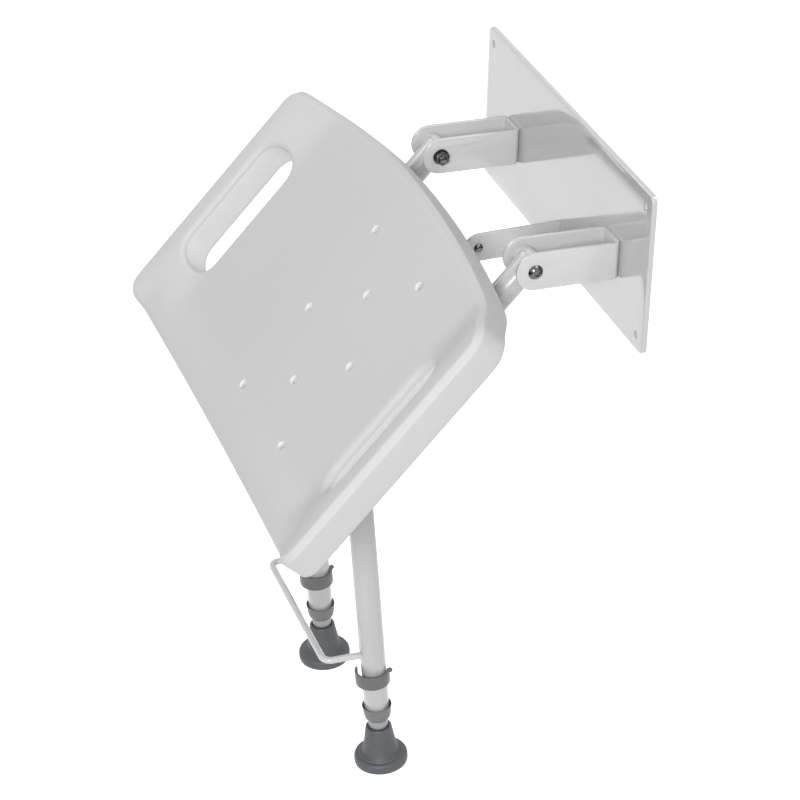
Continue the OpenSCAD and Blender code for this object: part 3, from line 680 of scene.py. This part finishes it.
# Hinge brackets and the centre arm
# Each bracket is one flat bar, 4 mm thick, bent to a U and rounded at its free ends. The arm is a flat bar on
# edge, sloped a little. All are welded to the plate and powder coated, so their edges are soft.
def body_of(node):
    """The moving body that a CAD node belongs to."""
    return next(b for b, members in frame["record"]["behaviour"]["bodies"].items() if node in members)


def soften(node, width, mat, segments=3):
    """A copy of a CAD node, merged and with its sharp edges rounded, that stands for the node."""
    source = nodes[node]
    piece = source.copy()
    piece.data = source.data.copy()

    # the copy loses the node's own marks
    for key in [k for k in piece.keys() if k.startswith("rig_")]:
        del piece[key]
    piece.parent = None
    bpy.context.scene.collection.objects.link(piece)
    piece.name = piece.data.name = node + "_dressed"
    pick_object(piece)
    bpy.ops.object.mode_set(mode="EDIT")
    bpy.ops.mesh.select_all(action="SELECT")
    bpy.ops.mesh.remove_doubles(threshold=1e-6)
    bpy.ops.mesh.dissolve_limited(angle_limit=math.radians(0.4))
    bpy.ops.object.mode_set(mode="OBJECT")
    edge = piece.modifiers.new("edge", "BEVEL")
    edge.width = width
    edge.segments = segments
    edge.limit_method = "ANGLE"
    edge.angle_limit = math.radians(sharp)
    edge.use_clamp_overlap = True
    bake_place(piece)
    shade_round(piece)
    dress(piece, mat)
    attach(piece, body_of(node))
    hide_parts(node)
    return piece


bar_edge = 0.7 * MM
arm_slope = 0.105
powder = {"drifts": (0.12, 0.02), "gloss": (0.04, 0.06), "texture": (0.0022, 0.00006, 0.30)}
white_coat = make_finish("white_powder_coat", (0.57, 0.565, 0.568), 0.22, coat=0.6, **powder)
for name in ("bracket_left", "bracket_right"):
    soften(name, bar_edge, white_coat)
arm = soften("centre_arm", bar_edge, white_coat)
arm_pin = Matrix.Translation(joint_at("link_pivot"))
arm_rise = Matrix.Identity(4)
arm_rise[2][1] = arm_slope
arm.data.transform(arm_pin @ arm_rise @ arm_pin.inverted())


# Seat frame, foot rail and link
# Steel tube of 25 and 22 mm, and a bent rod as the foot rail, welded and powder coated. The side tubes are
# rounded at the rear, so that they turn in the brackets. The pivot plates, the lug and the link bar are flat.
tube_edge = 0.3 * MM
flat_edge = 0.6 * MM
end_deep = 30 * MM
end_high = 60 * MM
end_middle = 17.5 * MM
end_r = 12.6 * MM
end_back = 2.5 * MM
end_flat = 0.78
leg_coat = make_finish("leg_powder_coat", (0.49, 0.486, 0.488), 0.26, coat=0.4, **powder)
for name in ("front_tube", "cross_rails", "pivot_tube", "foot_rail"):
    dress(nodes[name], white_coat)

# end_cut is what comes off the rear ends: a block behind the fold axis with a round hollow in its front
bpy.ops.object.select_all(action="DESELECT")
bpy.ops.mesh.primitive_cube_add(size=1)
end_cut = bpy.context.object
end_cut.scale = (0.5, end_deep, end_high)
end_cut.location = (0, end_middle, 0)
bake_place(end_cut)
bpy.ops.mesh.primitive_cylinder_add(vertices=96, radius=end_r, depth=0.6, location=(0, end_back, 0),
                                    rotation=(0, math.pi / 2, 0))
end_round = bpy.context.object
end_round.scale = (1.0, end_flat, 1.0)
combine(end_cut, end_round, "DIFFERENCE")
bake_place(end_cut, SEAT_PLACE)
bpy.data.objects.remove(end_round)


def round_end(piece):
    """Rounds the rear end of a frame tube or its plug."""
    combine(piece, end_cut, "DIFFERENCE")
    shade_round(piece)


for name in ("side_tube_left", "side_tube_right"):
    round_end(soften(name, tube_edge, leg_coat, 2))
for name in ("pivot_plates", "pivot_lug", "link_bar"):
    soften(name, flat_edge, white_coat)


# Leg tubes
# Steel tube of 25 mm, coated a little duller than the brackets. Each is welded to the pivot tube at its top,
# leans and splays slightly, and ends inside a grey bush.
leg_apart = 90.4 * MM
leg_splay = math.radians(0.92)
leg_lean = math.radians(4.97)
leg_low = 250 * MM
leg_more = 12.5 * MM


def leg_place(side):
    """The place of a leg: its middle line is Z, and its origin lies at the height of the leg pivot."""
    place = Matrix.Translation(joint_at("leg_pivot") + Vector((side * leg_apart, 0, 0)))
    return place @ Matrix.Rotation(-side * leg_splay, 4, "Y") @ Matrix.Rotation(leg_lean, 4, "X")


# the lower ends, below leg_low, go down by leg_more
for side, name in ((-1, "leg_left"), (1, "leg_right")):
    leg = soften(name, tube_edge, leg_coat, 2)
    to_leg = leg_place(side).inverted()
    bpy.ops.object.mode_set(mode="EDIT")
    pick_parts("VERT", "verts", lambda v: (to_leg @ v.co).z < -leg_low)
    bpy.ops.transform.translate(value=leg_place(side).to_3x3() @ Vector((0, 0, -leg_more)))
    bpy.ops.object.mode_set(mode="OBJECT")


# Bolts, nuts, washers and inserts
# Zinc plated steel fasteners: domed socket heads outboard and hexagon lock nuts inboard. Threaded inserts in
# the ends of the pivot tube take the leg pivot bolts.
bright_steel = make_finish("bright_steel", (0.12, 0.12, 0.116), 0.11, metal=1.0, drifts=(0.006, 0.30),
                           gloss=(0.004, 0.14), texture=(0.0006, 0.00003, 0.30))
bolt_edge = 0.35 * MM
for name in ("hinge_bolts", "hinge_nuts", "arm_bolt", "arm_nut", "lug_bolt", "lug_nut"):
    soften(name, bolt_edge, bright_steel, 2)
for name in ("hinge_washers", "seat_screws", "pivot_inserts", "pivot_bolts", "link_washers"):
    dress(nodes[name], bright_steel)


# Inner tubes
# Anodised aluminium tube, 20 mm, with a row of height holes. Each slides in its leg tube, and the pin of the
# height clip holds it.
satin_tube = make_finish("satin_tube", (0.27, 0.27, 0.275), 0.34, metal=0.75, drifts=(0.02, 0.06),
                         gloss=(0.006, 0.12), texture=(0.0005, 0.00002, 0.30))
for name in ("inner_tube_left", "inner_tube_right"):
    dress(nodes[name], satin_tube)


# Plastic plugs, bushes and glides
# Natural white nylon in the fold hinge and the open tube ends, black nylon in the leg pivot and inside the
# legs, all moulded with a fine matt grain.
white_nylon = make_finish("white_nylon", (0.62, 0.62, 0.60), 0.40, drifts=(0.02, 0.05), gloss=(0.01, 0.12))
for name in ("hinge_bushes", "rail_plugs"):
    dress(nodes[name], white_nylon)
round_end(soften("frame_plugs", tube_edge, white_nylon, 2))
bpy.data.objects.remove(end_cut)
dark_nylon = make_finish("dark_nylon", (0.10, 0.105, 0.11), 0.5, drifts=(0.02, 0.15), gloss=(0.01, 0.15))
for name in ("pivot_bushes", "glide_left", "glide_right"):
    dress(nodes[name], dark_nylon)


# Height clips
# Moulded in grey plastic: half a ring that clasps the leg tube, with a small ball on one lip to pull it by.
# Its pin goes through the leg tube towards a hole of the inner tube.

# sizes in mm about the leg's middle line; clip_low is the distance of the ring's middle below the leg pivot
clip_inner = 14.9
clip_outer = 17.4
clip_lip = 3.0
clip_high = 15.0
clip_low = 225.8
clip_off = 2.0
clip_soft = 0.6
clip_steps = 32
ball_r = 2.6
ball_out = 2.9
pin_edge = 0.3 * MM
pin_rise = 3.6 * MM
clip_turns = {"left": math.radians(-4), "right": math.radians(-28)}
grey_clip = make_finish("grey_clip", (0.113, 0.115, 0.119), 0.40, drifts=(0.02, 0.12), gloss=(0.01, 0.12))


def half_ring(r):
    """The outline of half a ring towards +X, with a straight lip at both ends."""
    arc = [math.pi * (0.5 - k / clip_steps) for k in range(clip_steps + 1)]
    return [(-clip_lip, r)] + [(r * math.cos(a), r * math.sin(a)) for a in arc] + [(-clip_lip, -r)]


def make_clip(name, side, turn, body, node):
    """A clip that opens towards -X. It hangs a little off centre on its pin, turned about its leg."""
    askew = Matrix.Translation((0, -clip_off * MM, 0)) @ Matrix.Rotation(turn, 4, "Z")
    ring = half_ring(clip_outer) + half_ring(clip_inner)[::-1]
    lower_rim = (-clip_low - clip_high / 2) * MM
    mesh = bpy.data.meshes.new(name)
    mesh.from_pydata([(x * MM, y * MM, lower_rim) for x, y in ring], [], [tuple(range(len(ring)))])
    clip = bpy.data.objects.new(name, mesh)
    bpy.context.scene.collection.objects.link(clip)
    pick_object(clip)
    bpy.ops.object.mode_set(mode="EDIT")
    bpy.ops.mesh.select_all(action="SELECT")
    bpy.ops.mesh.extrude_region_move(TRANSFORM_OT_translate={"value": (0, 0, clip_high * MM)})
    bpy.ops.mesh.select_all(action="SELECT")
    bpy.ops.mesh.normals_make_consistent(inside=False)
    bpy.ops.object.mode_set(mode="OBJECT")
    edge = clip.modifiers.new("edge", "BEVEL")
    edge.width = clip_soft * MM
    edge.segments = 3
    edge.limit_method = "ANGLE"
    edge.angle_limit = math.radians(sharp)
    bake_place(clip)
    ball_at = Vector((-clip_lip, clip_inner + ball_out, clip_high / 2 - ball_r - clip_low)) * MM
    bpy.ops.mesh.primitive_uv_sphere_add(segments=24, ring_count=16, radius=ball_r * MM, location=ball_at)
    ball = bpy.context.object
    bake_place(ball)
    combine(clip, ball, "UNION")
    bpy.data.objects.remove(ball)
    bake_place(clip, leg_place(side) @ askew)
    shade_round(clip)
    dress(clip, grey_clip)
    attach(clip, body)
    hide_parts(node)


for side, name in ((-1, "left"), (1, "right")):
    node = "height_clip_" + name
    make_clip("clip_" + name, side, clip_turns[name], body_of(node), node)
    pin = soften("clip_pin_" + name, pin_edge, grey_clip, 2)
    up = leg_place(side).to_3x3() @ Vector((0, 0, pin_rise))
    bake_place(pin, Matrix.Translation(up))


# Feet and end bushes
# Dark blue-grey rubber feet, each a cone on a broad flange, pushed on the inner tubes. Grey plastic bushes
# that widen upwards close the gap between leg tube and inner tube. The link's stop is of the feet's rubber.
foot_rubber = make_finish("foot_rubber", (0.070, 0.078, 0.086), 0.50, drifts=(0.02, 0.15), gloss=(0.01, 0.15),
                          texture=(0.0007, 0.00008, 0.35))
grey_bush = make_finish("grey_bush", (0.162, 0.165, 0.170), 0.45, drifts=(0.02, 0.10), gloss=(0.01, 0.12))
dress(nodes["link_stop"], foot_rubber)
turn_steps = 72

# outlines as (radius, distance below the leg pivot) in mm, each starting in the bore
foot_mouth = [(10.1, 296), (10.1, 289.6), (10.5, 288.8), (11.4, 288.5), (12.5, 288.7), (13.1, 289.6)]
foot_cone = [(13.5, 292), (14.3, 297), (15.3, 303), (16.4, 309), (17.5, 314), (18.4, 317.4)]
foot_steps = [(18.9, 318.4), (19.3, 318.2), (19.9, 318.9), (20.6, 320.0), (21.3, 319.8), (22.0, 320.4),
              (22.6, 321.4), (23.4, 321.4)]
foot_flange = [(25.2, 322.0), (26.4, 322.8), (27.1, 324.2), (27.3, 326), (27.3, 330.2), (26.9, 331.7),
               (25.8, 332.6), (24.2, 332.8)]
foot_sole = [(22.4, 332.8), (21.6, 331.6), (10, 331.6), (0, 331.6)]
bush_body = [(10.1, 275), (10.15, 277.8), (10.8, 278.3), (11.8, 278.1), (12.6, 277.0), (13.3, 274.8),
             (13.9, 271.6), (14.3, 268)]
bush_rim = [(14.7, 265), (15.1, 262.9), (15.0, 262.3), (14.5, 262.2), (13.9, 263.2), (13.2, 264.8),
            (12.75, 266)]


def turn_piece(name, outline, side, mat, body, node):
    """A piece turned about a leg's middle line."""
    points = [(r * MM, 0, -low * MM) for r, low in outline]
    mesh = bpy.data.meshes.new(name)
    mesh.from_pydata(points, [(i, i + 1) for i in range(len(points) - 1)], [])
    piece = bpy.data.objects.new(name, mesh)
    bpy.context.scene.collection.objects.link(piece)
    spin = piece.modifiers.new("turn", "SCREW")
    spin.steps = spin.render_steps = turn_steps
    spin.use_merge_vertices = True
    spin.merge_threshold = 1e-6
    bake_place(piece, leg_place(side))
    pick_object(piece)
    bpy.ops.object.mode_set(mode="EDIT")
    bpy.ops.mesh.select_all(action="SELECT")
    bpy.ops.mesh.normals_make_consistent(inside=False)
    bpy.ops.object.mode_set(mode="OBJECT")
    shade_round(piece)
    dress(piece, mat)
    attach(piece, body)
    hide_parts(node)


foot_outline = foot_mouth + foot_cone + foot_steps + foot_flange + foot_sole
bush_outline = bush_body + bush_rim
for side, name in ((-1, "left"), (1, "right")):
    foot = "foot_" + name
    turn_piece("foot_turned_" + name, foot_outline, side, foot_rubber, "lower_" + name, foot)
    turn_piece("bush_turned_" + name, bush_outline, side, grey_bush, "legs", "end_bushes")


# Studio
# A plain white floor and backdrop, soft light from all round with one broad lamp and two weaker ones, and the
# camera at the photograph's angle. Floor and backdrop look brighter than the light that they give.
floor_drop = 20 * MM
floor_glow = 0.85
soft_light = 0.40
seen_light = 1.0
mirrored_light = 1.35
bpy.ops.object.select_all(action="DESELECT")
bpy.ops.mesh.primitive_plane_add(size=60, location=(0, 0, cad_box[0][2] - floor_drop))
floor = bpy.context.object
floor.name = "studio_floor"

# the floor is white and glows, but only to the camera and in reflections
floor_paint = bpy.data.materials.new("studio_floor")
floor_paint.use_nodes = True
tree = floor_paint.node_tree
tree.nodes.clear()
out = tree.nodes.new("ShaderNodeOutputMaterial")
rays = tree.nodes.new("ShaderNodeLightPath")
matt = tree.nodes.new("ShaderNodeBsdfDiffuse")
matt.inputs["Color"].default_value = (0.80, 0.80, 0.80, 1)
glow = tree.nodes.new("ShaderNodeEmission")
glow.inputs["Color"].default_value = (1, 1, 1, 1)
glow.inputs["Strength"].default_value = floor_glow
both = tree.nodes.new("ShaderNodeAddShader")
pick = tree.nodes.new("ShaderNodeMixShader")
seen = tree.nodes.new("ShaderNodeMath")
seen.operation = "MAXIMUM"
tree.links.new(rays.outputs["Is Camera Ray"], seen.inputs[0])
tree.links.new(rays.outputs["Is Glossy Ray"], seen.inputs[1])
tree.links.new(seen.outputs[0], pick.inputs["Fac"])
tree.links.new(matt.outputs[0], both.inputs[0])
tree.links.new(glow.outputs[0], both.inputs[1])
tree.links.new(matt.outputs[0], pick.inputs[1])
tree.links.new(both.outputs[0], pick.inputs[2])
tree.links.new(pick.outputs[0], out.inputs["Surface"])
dress(floor, floor_paint)

# the backdrop has three strengths: for the light that it gives, for the camera and for reflections
world = bpy.data.worlds.new("studio")
bpy.context.scene.world = world
world.use_nodes = True
tree = world.node_tree
tree.nodes.clear()
out = tree.nodes.new("ShaderNodeOutputWorld")
rays = tree.nodes.new("ShaderNodeLightPath")
pick = tree.nodes.new("ShaderNodeMixShader")
shiny = tree.nodes.new("ShaderNodeMixShader")


def white_sky(strength):
    """A white background of that strength."""
    sky = tree.nodes.new("ShaderNodeBackground")
    sky.inputs["Color"].default_value = (1, 1, 1, 1)
    sky.inputs["Strength"].default_value = strength
    return sky


soft = white_sky(soft_light)
bright = white_sky(seen_light)
mirrored = white_sky(mirrored_light)
tree.links.new(rays.outputs["Is Glossy Ray"], shiny.inputs["Fac"])
tree.links.new(soft.outputs[0], shiny.inputs[1])
tree.links.new(mirrored.outputs[0], shiny.inputs[2])
tree.links.new(rays.outputs["Is Camera Ray"], pick.inputs["Fac"])
tree.links.new(shiny.outputs[0], pick.inputs[1])
tree.links.new(bright.outputs[0], pick.inputs[2])
tree.links.new(pick.outputs[0], out.inputs["Surface"])


def hang_lamp(name, place, size, watts):
    """A round area lamp that points at the middle of the object."""
    bpy.ops.object.light_add(type="AREA", location=place)
    lamp = bpy.context.object
    lamp.name = name
    lamp.data.shape = "DISK"
    lamp.data.size = size
    lamp.data.energy = watts
    lamp.rotation_euler = (middle - Vector(place)).to_track_quat("-Z", "Y").to_euler()


middle = Vector((0.0, -0.18, -0.2))
hang_lamp("key_lamp", (4.7, -2.9, 2.4), 2.0, 232)
hang_lamp("side_lamp", (-0.95, -0.75, 0.75), 0.5, 1.9)
hang_lamp("top_lamp", (0.6, 0.9, 2.4), 1.4, 20)

camera_place = (2.29296, -0.98299, 1.18175)
camera_turn = (60.1155, -1.3847, 71.1562)
bpy.ops.object.camera_add(location=camera_place)
camera = bpy.context.object
camera.name = "camera"
camera.rotation_euler = [math.radians(a) for a in camera_turn]
camera.data.lens = 127.68
camera.data.sensor_width = 36
camera.data.clip_end = 100
bpy.context.scene.camera = camera
bpy.context.scene.view_settings.view_transform = "Standard"
